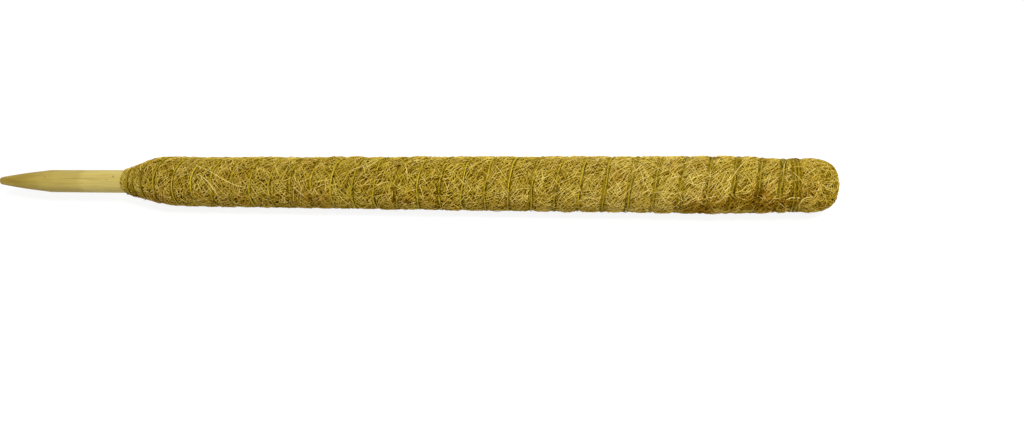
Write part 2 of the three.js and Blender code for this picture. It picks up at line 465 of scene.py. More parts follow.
# %% [markdown]
# ## The stake
# The real stake is a turned rod, cut to a blunt point with a few strokes of a knife. A cylinder is
# laid along the pole, its end face is drawn out to a point that is left a little full, and the edge
# of the tip is rounded. The knife's strokes then flatten the point on a few sides.

# %% Model the stake
POINT_LENGTH = 46.0
POINT_R = 2.9
POINT_STEPS = 10
POINT_BULGE = 0.55
TIP_FACING = -0.98
TIP_ROUND = 1.4
shank = STAKE_TOP - POINT_LENGTH


def select_tip(mesh_object):
    """In object mode, selects only the face that looks out of the pointed end."""
    mesh = mesh_object.data
    for group in (mesh.vertices, mesh.edges, mesh.polygons):
        group.foreach_set("select", [False] * len(group))
    for face in mesh.polygons:
        face.select = face.normal.x < TIP_FACING


def point_radius(share):
    """Radius of the point, from the shank at 0 to the tip at 1; the cuts leave it a little full."""
    return STAKE_R + (POINT_R - STAKE_R) * share + POINT_BULGE * math.sin(math.pi * share)


bpy.ops.object.select_all(action="DESELECT")
bpy.ops.mesh.primitive_cylinder_add(
    vertices=72,
    radius=STAKE_R * MM,
    depth=shank * MM,
    location=(TIP_X + (POINT_LENGTH + shank / 2) * MM, 0, AXIS_Z),
    rotation=(0, math.pi / 2, 0),
)
stake = bpy.context.object
stake.name = "stake_turned"
bpy.ops.object.transform_apply(location=True, rotation=True, scale=True)
bpy.context.tool_settings.mesh_select_mode = (False, False, True)
select_tip(stake)
bpy.ops.object.mode_set(mode="EDIT")
for step in range(POINT_STEPS):
    move = (-POINT_LENGTH / POINT_STEPS * MM, 0, 0)
    bpy.ops.mesh.extrude_region_move(TRANSFORM_OT_translate={"value": move})
    end_x = TIP_X + POINT_LENGTH * (1 - (step + 1) / POINT_STEPS) * MM
    shrink = point_radius((step + 1) / POINT_STEPS) / point_radius(step / POINT_STEPS)
    bpy.ops.transform.resize(value=(1, shrink, shrink), center_override=(end_x, 0, AXIS_Z))
bpy.ops.object.mode_set(mode="OBJECT")
select_tip(stake)
bpy.ops.object.mode_set(mode="EDIT")
bpy.ops.mesh.bevel(offset=TIP_ROUND * MM, segments=6, affect="EDGES")
bpy.ops.object.mode_set(mode="OBJECT")
print("stake:", len(stake.data.polygons), "faces")

# %% [markdown]
# A cut lies between the round of the rod and the flat side of a prism with as many sides as there
# are cuts. The cuts fade out a little way up the rod.

# %% Cut the point
CUTS = 7
CUT_SHARE = 0.45
CUT_TURN = 0.4
CUT_END = POINT_LENGTH + 4
CUT_EASE = 14
for vertex in stake.data.vertices:
    along = (vertex.co.x - TIP_X) / MM
    cut = min(max((CUT_END - along) / CUT_EASE, 0), 1)
    angle = math.atan2(vertex.co.z - AXIS_Z, vertex.co.y)
    facet = (angle + CUT_TURN) % (math.tau / CUTS) - math.pi / CUTS
    flat = math.cos(math.pi / CUTS) / math.cos(facet)
    share = 1 + CUT_SHARE * cut * (flat - 1)
    vertex.co.y *= share
    vertex.co.z = AXIS_Z + (vertex.co.z - AXIS_Z) * share
bpy.ops.object.shade_smooth_by_angle(angle=math.radians(40))
print("point with", CUTS, "cuts")

# %% [markdown]
# The wood is pale and fine-grained. Its grain is noise stretched along the rod. The lower part is a
# shade browner, with a step in tone where it ends, and the point is the brownest. A few small knots
# show, each set by its way along the rod, its angle and its size.

# %% Finish of the stake
KNOTS = ((106, 104, 1.0), (101, 121, 0.6), (80, 138, 0.5), (47, 108, 0.8), (24, 112, 0.8))
KNOT_CORE = 0.3
KNOT_DARK = 0.75
NOISE_MIDDLE = 0.5
GRAIN_STRETCH = (0.035, 1.0, 1.0)
GRAIN_CONTRAST = 2.4
RING_START = 0.32
RING_CONTRAST = 2.2
LOWER_SPAN = (TIP_X + 0.081, TIP_X + 0.074)
LOWER_BROWN = 0.46
POINT_SPAN = (TIP_X + 0.062, TIP_X + 0.004)
POINT_BROWN = 0.68
PATCHY = 0.45
wood = Finish("pale_wood")
spot = wood.object_spot()
along_x = wood.part(spot, "X")
stretched = wood.node("ShaderNodeMapping", {}, {"Vector": spot, "Scale": GRAIN_STRETCH})
grain = wood.noise(stretched, scale=900.0, detail=5.0)
rings = wood.noise(stretched, scale=300.0, detail=3.0)
patch = wood.noise(spot, scale=55.0, detail=3.0)
lower = wood.rise(along_x, *LOWER_SPAN) * LOWER_BROWN
point = wood.rise(along_x, *POINT_SPAN) * POINT_BROWN
aged = (lower + point + (patch - NOISE_MIDDLE) * PATCHY).clamped()
ring_share = (rings - RING_START) * RING_CONTRAST
pale = wood.mix(ring_share, rgba(199, 180, 100), rgba(184, 163, 84))
brown = wood.mix(ring_share, rgba(166, 142, 50), rgba(134, 108, 26))
grain_share = (grain - NOISE_MIDDLE) * GRAIN_CONTRAST
streaked = wood.mix(grain_share, wood.mix(aged, pale, brown), rgba(150, 126, 62))
dark_knots = 0.0
for knot_along, knot_angle, knot_size in KNOTS:
    knot = tuple(place(knot_along, math.radians(knot_angle), STAKE_R))
    away = wood.node("ShaderNodeVectorMath", {"operation": "DISTANCE"}, {0: spot, 1: knot}, "Value")
    dark_knots = dark_knots + wood.rise(away, knot_size * MM, KNOT_CORE * knot_size * MM)
wood.set(Base_Color=wood.mix(dark_knots * KNOT_DARK, streaked, rgba(98, 70, 26)), Roughness=0.6)
wood.set(Normal=wood.bump(grain, strength=0.25, distance=0.0004), Specular_IOR_Level=0.25)
stake.data.materials.append(wood.material)
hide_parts("stake")
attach(stake, "root")
print("wood with", len(KNOTS), "knots")

# %% [markdown]
# ## The bed of fibre
# Under the loose fibres lies a dense mat. The real one is a sheet rolled round the stake, so here a
# grid is rolled up the same way. Its own UV map, along and round the pole, stays on it.

# %% Roll up the mat
BAKE_MAP = "OFBake"
SHEET_SIDES = 96
BED_DEPTH = 0.6
BED_INSET = 0.2
BED_STEP = 1.0


def roll_sheet(name, along, radius_of):
    """A grid with a row for each place along the pole, rolled to a tube with closed ends."""
    rows = len(along)
    bpy.ops.object.select_all(action="DESELECT")
    bpy.ops.mesh.primitive_grid_add(x_subdivisions=rows - 1, y_subdivisions=SHEET_SIDES, size=1.0)
    sheet = bpy.context.object
    sheet.name = name
    flat = np.zeros(len(sheet.data.vertices) * 3)
    sheet.data.vertices.foreach_get("co", flat)
    flat = flat.reshape(-1, 3) + 0.5
    row = np.clip(np.round(flat[:, 0] * (rows - 1)).astype(int), 0, rows - 1)
    angle = flat[:, 1] * math.tau
    station = np.asarray(along)[row]
    points = place(station, angle, radius_of(station, angle, row))
    sheet.data.vertices.foreach_set("co", points.ravel())
    sheet.data.uv_layers[0].name = BAKE_MAP
    bpy.context.tool_settings.mesh_select_mode = (True, False, False)
    bpy.ops.object.mode_set(mode="EDIT")
    bpy.ops.mesh.select_all(action="SELECT")
    bpy.ops.mesh.remove_doubles(threshold=0.00001)
    bpy.ops.mesh.select_all(action="DESELECT")
    bpy.ops.mesh.select_non_manifold()
    bpy.ops.mesh.fill_holes(sides=0)
    bpy.ops.mesh.select_all(action="SELECT")
    bpy.ops.mesh.normals_make_consistent(inside=False)
    bpy.ops.object.mode_set(mode="OBJECT")
    bpy.ops.object.shade_smooth()
    return sheet


def bed_radius(along, angle, row):
    return skin(along, angle) - BED_DEPTH


bed = roll_sheet("gap_shade_bed", np.arange(MAT_START + BED_INSET, MAT_END, BED_STEP), bed_radius)
print("bed:", len(bed.data.polygons), "faces")

# %% [markdown]
# The dome is a second sheet, gathered to a point at its end. A real wad of fibre is squarer at the
# shoulder than a ball, so the outline is a fuller curve than a circle, tucked in under the last turns
# of the twine. It stops a little short of the solid, where the loose fibres lie on it.

# %% Roll up the dome
DOME_LAP = 0.6
DOME_SLACK = 1.2
DOME_ROWS = 60
DOME_FULLNESS = 2.9
SHOULDER = 2.2
SHOULDER_DROP = 1.1
DOME_LUMPS = 0.18
DOME_CALM = 8
DOME_START = MAT_END - DOME_LAP
DOME_R = COVER_R - TOP_DRAW - PILE
DOME_LENGTH = LENGTH - DOME_SLACK - PILE - DOME_START
dome_shares = np.sin(np.linspace(0, math.pi / 2, DOME_ROWS))
dome_along = DOME_START + DOME_LENGTH * dome_shares
dome_radius = DOME_R * (1 - dome_shares**DOME_FULLNESS) ** (1 / DOME_FULLNESS)
dome_radius = dome_radius - SHOULDER_DROP * bell(dome_along - DOME_START, SHOULDER)


def dome_ripple(along, angle, radius):
    """Soft lumps that die out towards the end of the pole."""
    return DOME_LUMPS * lumps(along, angle) * np.minimum(radius / DOME_CALM, 1)


def dome_bed_radius(along, angle, row):
    ripple = dome_ripple(along, angle, dome_radius[row])
    return np.maximum(dome_radius[row] - BED_DEPTH + ripple, 0)


dome = roll_sheet("coir_dome", dome_along - BED_DEPTH * dome_shares, dome_bed_radius)
print("dome:", len(dome.data.polygons), "faces")

# %% [markdown]
# Of the bed only the gaps between the fibres show, so it is painted dark brown, as the shade deep in
# those gaps. Fine noise, bent by broader noise, gives it a felted grain.

# %% Finish of the bed
BED_WARP = (0.012, 0.012, 0.012)
STRAND_SHARE = 0.75
BROAD_SHARE = 0.35
gap_shade_bed = Finish("matted_coir_gap_shade")
spot = gap_shade_bed.object_spot()
bent = gap_shade_bed.noise(spot, scale=160.0, output="Color")
warp_inputs = {0: bent, 1: BED_WARP, 2: spot}
warped = gap_shade_bed.node("ShaderNodeVectorMath", {"operation": "MULTIPLY_ADD"}, warp_inputs)
strands = gap_shade_bed.noise(warped, scale=1500.0, detail=4.0)
broad = gap_shade_bed.noise(spot, scale=90.0, detail=3.0)
mixed = (strands * STRAND_SHARE + broad * BROAD_SHARE).clamped()
# The bed's dark brown is painted shade, for the depth of the gaps between the fibres.
tint = gap_shade_bed.ramp(mixed, (0.30, srgb(38, 22, 0)), (0.52, srgb(70, 47, 0)), (0.74, srgb(105, 80, 6)))
gap_shade_bed.set(Base_Color=tint, Roughness=0.95, Specular_IOR_Level=0.0)
gap_shade_bed.set(Normal=gap_shade_bed.bump(strands, strength=0.8, distance=0.0005))
for piece, node in ((bed, "coir_mat"), (dome, "end_pad")):
    piece.data.materials.append(gap_shade_bed.material)
    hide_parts(node)
    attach(piece, "root")
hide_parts("coir_core")
print("bed and dome in", gap_shade_bed.material.name)

# %% [markdown]
# ## Single fibres
# What the eye sees on a moss pole is not a surface but a tangle: curled fibres that lie every way,
# some pale, some dark, with deep gaps between them. Each one is a thin tube of three sides. It is
# drawn as a bending line on the unrolled cover and then laid on the skin, under or over the twine.
# Blender's operators add one thing at a time, so the meshes of so many tubes are filled from arrays.

# %% Build tubes from lines
FIBRE_SIDES = 3
FIBRE_ROLL = 0.25
UV_PATCH = 0.004
TINY = 1e-12


def tube_mesh(name, corners, uv):
    """A mesh object of closed tubes; corners are tubes x steps x sides x 3, in metres."""
    count, steps, sides, _ = corners.shape
    mesh = bpy.data.meshes.new(name)
    mesh.vertices.add(count * steps * sides)
    mesh.vertices.foreach_set("co", corners.ravel())
    ids = np.arange(count * steps * sides).reshape(count, steps, sides)
    after = np.roll(ids, -1, axis=2)
    quads = np.stack([ids[:, :-1], after[:, :-1], after[:, 1:], ids[:, 1:]], axis=-1)
    quads = quads.reshape(count, -1, 4)
    caps = np.stack([ids[:, 0, ::-1], ids[:, -1]], axis=1)
    loops = np.concatenate([quads.reshape(count, -1), caps.reshape(count, -1)], axis=1)
    sizes = np.tile(np.concatenate([np.full(quads.shape[1], 4), np.full(2, sides)]), count)
    mesh.loops.add(loops.size)
    mesh.loops.foreach_set("vertex_index", loops.ravel())
    mesh.polygons.add(sizes.size)
    mesh.polygons.foreach_set("loop_start", np.concatenate([[0], np.cumsum(sizes)[:-1]]))
    mesh.polygons.foreach_set("use_smooth", np.ones(sizes.size, bool))
    mesh.update(calc_edges=True)
    mesh.uv_layers.new(name=BAKE_MAP)
    mesh.uv_layers[BAKE_MAP].data.foreach_set("uv", uv.ravel())
    made = bpy.data.objects.new(name, mesh)
    scene.collection.objects.link(made)
    return made


def fibre_mesh(name, points, normals, radii, tone, hue):
    """One object with a thin tube along each line; points and normals are fibres x steps x 3."""
    tangents = np.gradient(points, axis=1)
    tangents /= np.linalg.norm(tangents, axis=2, keepdims=True) + TINY
    across = np.cross(tangents, normals)
    across /= np.linalg.norm(across, axis=2, keepdims=True) + TINY
    upward = np.cross(across, tangents)
    turns = [math.tau * (side + FIBRE_ROLL) / FIBRE_SIDES for side in range(FIBRE_SIDES)]
    rings = [math.cos(turn) * upward + math.sin(turn) * across for turn in turns]
    corners = points[:, :, None] + radii[:, :, None, None] * np.stack(rings, axis=2)

    # The map's first axis is the fibre's tone and its second its hue, so one small patch colours it all
    square = UV_PATCH * np.array([[-1, -1], [1, -1], [1, 1], [-1, 1]])
    middle = np.clip(np.stack([tone, hue], axis=1), UV_PATCH, 1 - UV_PATCH)
    quads = (points.shape[1] - 1) * FIBRE_SIDES
    one_fibre = np.concatenate([np.tile(square, (quads, 1)), np.tile(square[:FIBRE_SIDES], (2, 1))])
    return tube_mesh(name, corners, middle[:, None] + one_fibre[None])


print("a fibre has", FIBRE_SIDES, "sides")

# %% [markdown]
# A fibre's line has a lasting bend and one slow wave of bending, both by chance. That is how coir
# springs out of the husk: curled, but never kinked.

# %% Draw bending lines
CURL_WAVE = 1.3
CURL_PACE = (0.6, 1.8)


def bending_lines(steps, lengths, heading, curl):
    """Lines on a flat sheet: places along and across, each line with its own wandering curl."""
    count = len(lengths)
    step = lengths / (steps - 1)
    base = rng.normal(0, curl, count)
    wave = rng.normal(0, CURL_WAVE * curl, count)
    pace = rng.uniform(*CURL_PACE, count)
    phase = rng.uniform(0, math.tau, count)
    share = np.linspace(0, 1, steps - 1)
    bend = base[:, None] + wave[:, None] * np.sin(math.tau * pace[:, None] * share + phase[:, None])
    angle = heading[:, None] + np.cumsum(bend, axis=1) * step[:, None]
    zero = np.zeros((count, 1))
    along = np.concatenate([zero, np.cumsum(np.cos(angle), axis=1)], axis=1) * step[:, None]
    across = np.concatenate([zero, np.cumsum(np.sin(angle), axis=1)], axis=1) * step[:, None]
    return along - along.mean(1, keepdims=True), across - across.mean(1, keepdims=True)


print("waves in the bend of a fibre:", CURL_PACE)

# %% [markdown]
# The surface that the fibres lie on runs on from the round of the pole over the shoulder of the
# dome, so that fibres bridge the band of twine there. A place on it is the way along it and an angle.

# %% Surface under the fibres
BRIDGE = 13.0
LOW_MARGIN = 0.4
profile_step = np.hypot(np.diff(dome_along), np.diff(dome_radius))
dome_way = np.concatenate([[0], np.cumsum(profile_step)])
slope_size = np.hypot(np.gradient(dome_along), np.gradient(dome_radius))
dome_out_along = -np.gradient(dome_radius) / slope_size
dome_out_radius = np.gradient(dome_along) / slope_size
LOW_END = MAT_START + LOW_MARGIN
HIGH_END = DOME_START + BRIDGE


def cover_surface(way, angle):
    """Place along the pole, radius, and the two parts of the outward direction."""
    past = way - DOME_START
    on_dome = past > 0
    along = np.where(on_dome, np.interp(past, dome_way, dome_along), way)
    domed = np.interp(past, dome_way, dome_radius)
    domed = domed + dome_ripple(along, angle, domed)
    radius = np.where(on_dome, domed, skin(np.minimum(way, DOME_START), angle))
    out_along = np.where(on_dome, np.interp(past, dome_way, dome_out_along), 0.0)
    out_radius = np.where(on_dome, np.interp(past, dome_way, dome_out_radius), 1.0)
    return along, radius, out_along, out_radius


print(f"the way over the dome is {dome_way[-1]:.1f} mm")

# %% [markdown]
# A fibre passes over and under its neighbours, so its height over the skin waves slowly, and its two
# ends thin out and dip into the mat. The tone and hue go to the mesh with it.

# %% Lift the fibres
WANDER_PACE = (0.8, 2.4)
TAPER = 0.6
TAPER_POWER = 4
DIP_POWER = 6
COLOUR_RANGE = (0.02, 0.98)


def wandering(count, share, low, high):
    size = rng.uniform(low, high, count)[:, None]
    pace = rng.uniform(*WANDER_PACE, count)[:, None]
    return size * np.sin(math.tau * pace * share + rng.uniform(0, math.tau, count)[:, None])


def end_rise(share, power):
    """0 along the middle of a fibre, 1 at its two ends."""
    return np.abs(2 * share - 1) ** power


def waving_height(level, share, wander, dip):
    """Height over the skin, from each fibre's own level."""
    return level[:, None] + wandering(len(level), share, *wander) - dip * end_rise(share, DIP_POWER)


def tapered(thick, share):
    return thick[:, None] * (1 - TAPER * end_rise(share, TAPER_POWER)) * MM


def lift_and_build(name, surface, angle, height, thick, tone, hue):
    along, radius, out_along, out_radius = surface
    points = place(along + height * out_along, angle, radius + height * out_radius)
    normals = np.stack([out_along, out_radius * np.cos(angle), out_radius * np.sin(angle)], axis=-1)
    radii = tapered(thick, np.linspace(0, 1, angle.shape[1]))
    tone = np.clip(tone, *COLOUR_RANGE)
    hue = np.clip(hue, *COLOUR_RANGE)
    return fibre_mesh(name, points, normals, radii, tone, hue)


print(f"a fibre's ends are {1 - TAPER:.1f} as thick as its middle")

# %% [markdown]
# ## Layers of fibre
# The fibres are laid in kinds: dark ground fibres first, then the paler ones on top, and last a few
# long hairs. The ground fibres are painted dark as the shade deep in the tangle. A kind has several
# layers, each with its own heading across the pole, and crossing layers make the tangle. A layer that
# begins at `FINE_FROM` thickens only the top end, where the fibre is finest. `glow` lifts the tone on
# the brightest stretch as a painted pool of light, and `low_end` shifts it towards the lower end, where
# the ground fibres get darker still as more painted shade.

# %% Kinds of fibre
FINE_FROM = 400.0
KINDS = {
    # The ground's low tone is painted shade deep in the tangle; its low_end makes it darker still
    # towards the lower end.
    "ground": {
        "layers": ((0.35, 0), (-1.1, 0), (1.15, 0), (-0.6, FINE_FROM)),
        "spacing": 1.25, "steps": 6, "length": 9.5, "thick": (0.18, 0.24), "curl": 1 / 50,
        "level": (-0.6, -0.15), "wander": (0.1, 0.25), "tone": 0.22, "glow": 0.2, "low_end": -0.12,
    },
    "top": {
        "layers": ((0.95, 0), (-0.7, 0), (-0.35, 0), (-1.1, 0), (-0.85, FINE_FROM)),
        "spacing": 1.7, "steps": 6, "length": 9.5, "thick": (0.18, 0.25), "curl": 1 / 50,
        "level": (-0.05, 0.35), "wander": (0.1, 0.3), "tone": 0.695, "glow": 0.09, "low_end": 0.0,
    },
    "hair": {
        "layers": ((-0.7, 0),),
        "spacing": 50.0, "steps": 31, "length": 32, "thick": (0.14, 0.2), "curl": 1 / 80,
        "level": (0.55, 0.7), "wander": (0.1, 0.3), "tone": 0.68, "glow": 0.09, "low_end": 0.0,
    },
}
print("kinds of fibre:", {name: len(kind["layers"]) for name, kind in KINDS.items()})

# %% [markdown]
# Within a layer the fibres lie end to end along helical lines that run side by side, as in a fleece
# that was combed and wound on. Scattered by pure chance they would leave bald spots and heaps, so
# chance only moves each one a little. A fibre that would run off an end of the cover turns back, each
# at its own place, so that no edge shows on the dome.

# %% Where the fibres lie
END_SEED = 11
TURN_BACK = 9
STEP_JITTER = 0.2
LINE_JITTER = 0.15
end_rng = np.random.default_rng(END_SEED)


def folded(way):
    high = HIGH_END - end_rng.uniform(0, TURN_BACK, len(way))[:, None]
    way = LOW_END + np.abs(way - LOW_END)
    return high - np.abs(high - way)


def helix_places(heading, spacing, length):
    """Way and angle of the middle of each fibre."""
    lines = round(math.tau * COVER_R * math.cos(heading) / spacing)
    per_line = round((HIGH_END - LOW_END) / math.cos(heading) / length)
    count = lines * per_line
    line = np.repeat(np.arange(lines), per_line)
    line_shift = rng.random(lines)[line]
    step = np.tile(np.arange(per_line), lines) + line_shift + rng.normal(0, STEP_JITTER, count)
    way = LOW_END + (HIGH_END - LOW_END) * (step / per_line % 1)
    angle = math.tau * line / lines + way * math.tan(heading) / COVER_R
    return way, angle + rng.normal(0, LINE_JITTER * spacing / COVER_R, count)


print(f"fibres lie from {LOW_END:.1f} to {HIGH_END:.1f} mm along the surface")

# %% [markdown]
# Old fibre is brown and dark, and it lies in spots near the top end, each set by its way along the
# pole, its angle and its width. The low side of the pole is painted browner and a little darker too,
# as painted shade under it. Most fibres are pressed under the twine, and some cross over it: few at the
# neck, more towards the top and in the brown spots, and here and there a whole veil of them. The long
# hairs always lie over it.

# %% Age of the fibre, shade of the low side, and the way over the twine
BROWN_SPOTS = (
    (520, -165, 9), (538, 168, 5), (550, 167, 7), (554, 147, 4), (560, 129, 3),
    (563, 178, 6), (572, 147, 4), (573, 165, 4), (581, 139, 4),
)
UNDERSIDE_SHADE = 0.4
UNDERSIDE_SHADE_SPAN = (-0.75, -0.1)
AGE_AND_UNDERSIDE_SHADES = ((0.24, 0.25), (0.5, 0.8))
OVER_TWINE = 0.08
OVER_TWINE_TOP = 0.16
OVER_NECK = 0.3
OVER_SPAN = (MAT_START + 60, MAT_START + 120)
OVER_BROWN = 0.6
OVER_BROWN_FROM = 0.5
VEIL_DEPTH = 1.1
VEIL_RANGE = (0.1, 4)
TWINE_REACH = 1.6
CROSS_GAP = 0.2
veil = wave_field(most_around=3, shortest=25, longest=90)


def old_fibre_and_underside_shade(way, angle):
    """Share of old brown fibre and of the painted shade on the low side, from 0 to 1."""
    # Painted shade: the low side of the pole is counted browner and darker.
    total = UNDERSIDE_SHADE * soft_step(-np.sin(angle), *UNDERSIDE_SHADE_SPAN)
    for spot_way, spot_angle, spread in BROWN_SPOTS:
        turn = (angle - math.radians(spot_angle) + math.pi) % math.tau - math.pi
        total += np.exp(-(((way - spot_way) ** 2 + (COVER_R * turn) ** 2) / spread**2))
    return np.minimum(total, 1)


def age_and_underside_shade(brown):
    """How much darker a brown fibre is, most of all in the middle of a spot; on the low side of the
    pole it is painted shade.
    """
    return sum(shade * np.maximum(brown - start, 0) for shade, start in AGE_AND_UNDERSIDE_SHADES)


def twine_cover(way, angle, radius):
    """How near the twine is, from 0 to 1, and the height that a fibre needs to cross over it."""
    near = bell(twine_distance(way, angle), TWINE_REACH) * (way < DOME_START)
    crossing = seat(np.minimum(way, DOME_START), angle) + SEAT_GAP + 2 * TWINE_R + CROSS_GAP
    return near, crossing - radius


def crossing_share(way, angle, brown):
    """Share of the fibres that cross over the twine."""
    share = OVER_TWINE + (OVER_TWINE_TOP - OVER_TWINE) * tightness(way)
    share = share * np.clip(1 + VEIL_DEPTH * veil(way, angle), *VEIL_RANGE)
    share = share * (OVER_NECK + (1 - OVER_NECK) * soft_step(way, *OVER_SPAN))
    return share + OVER_BROWN * np.maximum(brown - OVER_BROWN_FROM, 0)


print(len(BROWN_SPOTS), "brown spots")

# %% [markdown]
# Now each layer is laid. Its fibres keep near the layer's heading and drift a little together, a few
# stray ends stand off, and the fibres get thinner towards the top end.

# %% Fibres on the cover
DRIFT = 0.6
FINE_BLEND = 30
SHORTEST = 4
LONGEST_SHARE = 2.6
END_DIP = 0.4
STRAY_SHARE = 0.012
STRAY_POWER = 3
OVER_LEVEL = 0.54
PRESS_DEPTH = 0.25
THINNER = 0.22
THINNER_SPAN = (340, 470)
TONE_DROP = 0.03
LIGHT_POOL_MIDDLE = 498
LIGHT_POOL_SPREAD = 72
LOW_END_SPAN = (330, 200)
HUE = 0.25
HUE_LUMPS = 0.1
HUE_BROWN = 0.8
HUE_LOW_END = 0.15


def fibre_colours(kind, way, angle, brown):
    """Tone and hue of each fibre, from the place of its middle."""
    low_end = soft_step(way, *LOW_END_SPAN)
    tone = kind["tone"] + rng.normal(scale=0.12, size=len(way)) - age_and_underside_shade(brown)
    # Painted light: the tone is lifted on the brightest stretch near the top, as a pool of light.
    tone += kind["glow"] * bell(way - LIGHT_POOL_MIDDLE, LIGHT_POOL_SPREAD) - TONE_DROP
    # For the ground fibres this is more painted shade towards the lower end.
    tone += kind["low_end"] * low_end
    hue = HUE + HUE_LUMPS * lumps(way, angle) + rng.normal(scale=0.15, size=len(way))
    return tone, hue + HUE_BROWN * brown + HUE_LOW_END * low_end


def lay_fibres(name, kind, main_heading, first_way):
    """One layer of a kind, as one object."""
    start_way, start_angle = helix_places(main_heading, kind["spacing"], kind["length"])
    chosen = start_way + rng.normal(0, FINE_BLEND, len(start_way)) >= first_way
    start_way = start_way[chosen]
    start_angle = start_angle[chosen]
    drift = wave_field(most_around=8, shortest=14, longest=60)
    count = len(start_way)
    share = np.linspace(0, 1, kind["steps"])
    lengths = rng.lognormal(mean=math.log(kind["length"]), sigma=0.42, size=count)
    lengths = np.clip(lengths, SHORTEST, LONGEST_SHARE * kind["length"])
    heading = main_heading + rng.normal(scale=0.12, size=count)
    way, across = bending_lines(kind["steps"], lengths, heading, kind["curl"])
    way = folded(way + start_way[:, None])
    angle = start_angle[:, None] + across / crown(way)
    angle = angle + DRIFT / COVER_R * drift(way, angle)
    surface = cover_surface(way, angle)
    level = rng.uniform(*kind["level"], count)
    height = waving_height(level, share, kind["wander"], END_DIP)
    stray = rng.random(count) < STRAY_SHARE
    height[stray] += rng.uniform(low=0.4, high=1.6, size=stray.sum())[:, None] * share**STRAY_POWER

    middle_way = way[:, kind["steps"] // 2]
    middle_angle = angle[:, kind["steps"] // 2]
    brown = old_fibre_and_underside_shade(middle_way, middle_angle)
    near, twine_top = twine_cover(way, angle, surface[1])
    over = rng.random(count) < crossing_share(middle_way, middle_angle, brown)
    over = (over | (level > OVER_LEVEL))[:, None]
    pressed = height * (1 - near) - PRESS_DEPTH * near
    height = np.where(over, np.maximum(height, twine_top * near), pressed)
    thinner = 1 - THINNER * soft_step(middle_way, *THINNER_SPAN)
    thick = rng.uniform(*kind["thick"], count) * thinner
    tone, hue = fibre_colours(kind, middle_way, middle_angle, brown)
    return lift_and_build(name, surface, angle, height, thick, tone, hue)


fibre_pieces = []
for kind_name, kind in KINDS.items():
    for layer, (main_heading, first_way) in enumerate(kind["layers"], 1):
        fibre_pieces.append(lay_fibres(f"coir_{kind_name}_{layer}", kind, main_heading, first_way))
        print(kind_name, layer, "has", len(fibre_pieces[-1].data.polygons), "faces")

# %% [markdown]
# Beside the twine lie strands that it has combed flat along itself. They are darker and greener, so
# each turn shows as a soft line even where the twine is hidden. On the lower two thirds, on the side
# of a turn away from the point, some are dark brown and draw the twine's shadow. Those at the neck
# are thicker.

# %% Strands beside the twine
BESIDE = 1950
BESIDE_NECK = 300
BESIDE_DARK = 680
BESIDE_STEPS = 11
END_CLEAR = 0.3
TOPWARD = 1.5
NECK_SPAN = (0.2, 4.5)
DARK_SPAN = (4.5, 24)
TOP_LIFT = 0.35
DARK_LIFT = 0.1
NECK_LIFT = 0.25
NECK_THICKER = 0.06
DARK_TONE = -0.28
DARK_HUE = 0.45
share = np.linspace(0, 1, BESIDE_STEPS)
turns = ALL_TURNS - END_CLEAR - (ALL_TURNS - 2 * END_CLEAR) * rng.random(BESIDE) ** TOPWARD
turns[:BESIDE_NECK] = rng.uniform(*NECK_SPAN, BESIDE_NECK)
turns[BESIDE_NECK:BESIDE_DARK] = rng.uniform(*DARK_SPAN, BESIDE_DARK - BESIDE_NECK)
reach = rng.uniform(low=7, high=16, size=BESIDE)[:, None] / (math.tau * COVER_R) * (share - 0.5)
turns = turns[:, None] + reach
offset = rng.choice([-1, 1], BESIDE) * rng.uniform(low=0.75, high=1.6, size=BESIDE)
offset[:BESIDE_DARK] = rng.uniform(low=0.65, high=1.1, size=BESIDE_DARK)
skew = rng.normal(scale=0.5, size=BESIDE)[:, None] * (share - 0.5)
way = np.clip(twine_at(turns) + offset[:, None] + skew, LOW_END, HIGH_END)
angle = PHASE - math.tau * turns
level = rng.uniform(low=-0.1, high=0.25, size=BESIDE)
level += TOP_LIFT * tightness(way[:, BESIDE_STEPS // 2])
level[:BESIDE_DARK] += DARK_LIFT
level[:BESIDE_NECK] += NECK_LIFT
height = waving_height(level, share, wander=(0.03, 0.12), dip=0.3)
thick = rng.uniform(low=0.16, high=0.24, size=BESIDE)
thick[:BESIDE_NECK] += NECK_THICKER
tone = rng.normal(loc=0.34, scale=0.1, size=BESIDE)
tone[:BESIDE_DARK] += DARK_TONE
hue = rng.normal(loc=0.08, scale=0.06, size=BESIDE)
hue[:BESIDE_DARK] += DARK_HUE
surface = cover_surface(way, angle)
fibre_pieces.append(lift_and_build("coir_beside_twine", surface, angle, height, thick, tone, hue))
print(BESIDE, "strands beside the twine")

# %% [markdown]
# A few long pale hairs stand out from the rest. They are laid one by one, each along a smooth curve
# through some places on the cover: the way along the pole and the angle in degrees.

# %% Loose hairs
HAIRS = (
    ((178, 88), (187, 102), (195, 110), (202, 121), (208, 132), (214, 139), (222, 141)),
    ((181, 112), (187, 120), (192, 132), (195, 148), (197, 162)),
    ((568, 161), (571, 157), (574, 156), (576, 158)),
    ((534, 122), (538, 113), (542, 91), (547, 74)),
    ((576, 186), (576, 173), (577, 163), (579, 157), (582, 153)),
)
HAIR_STEPS = 40
HAIR_LEVEL = 0.45
hair_thick = np.full(len(HAIRS), 0.3)
hair_tone = np.full(len(HAIRS), 0.87)
hair_hue = np.full(len(HAIRS), 0.2)
share = np.linspace(0, 1, HAIR_STEPS)
hair_curves = []
for hair in HAIRS:
    spots = np.linspace(0, 1, len(hair))
    fits = [np.polyfit(spots, values, deg=3) for values in zip(*hair)]
    hair_curves.append([np.polyval(fit, share) for fit in fits])
way, angle = np.swapaxes(np.array(hair_curves), 0, 1)
angle = np.radians(angle)
surface = cover_surface(way, angle)
near, twine_top = twine_cover(way, angle, surface[1])
wave = wandering(len(HAIRS), share, low=0.05, high=0.15)
height = np.maximum(HAIR_LEVEL + wave, twine_top * near)
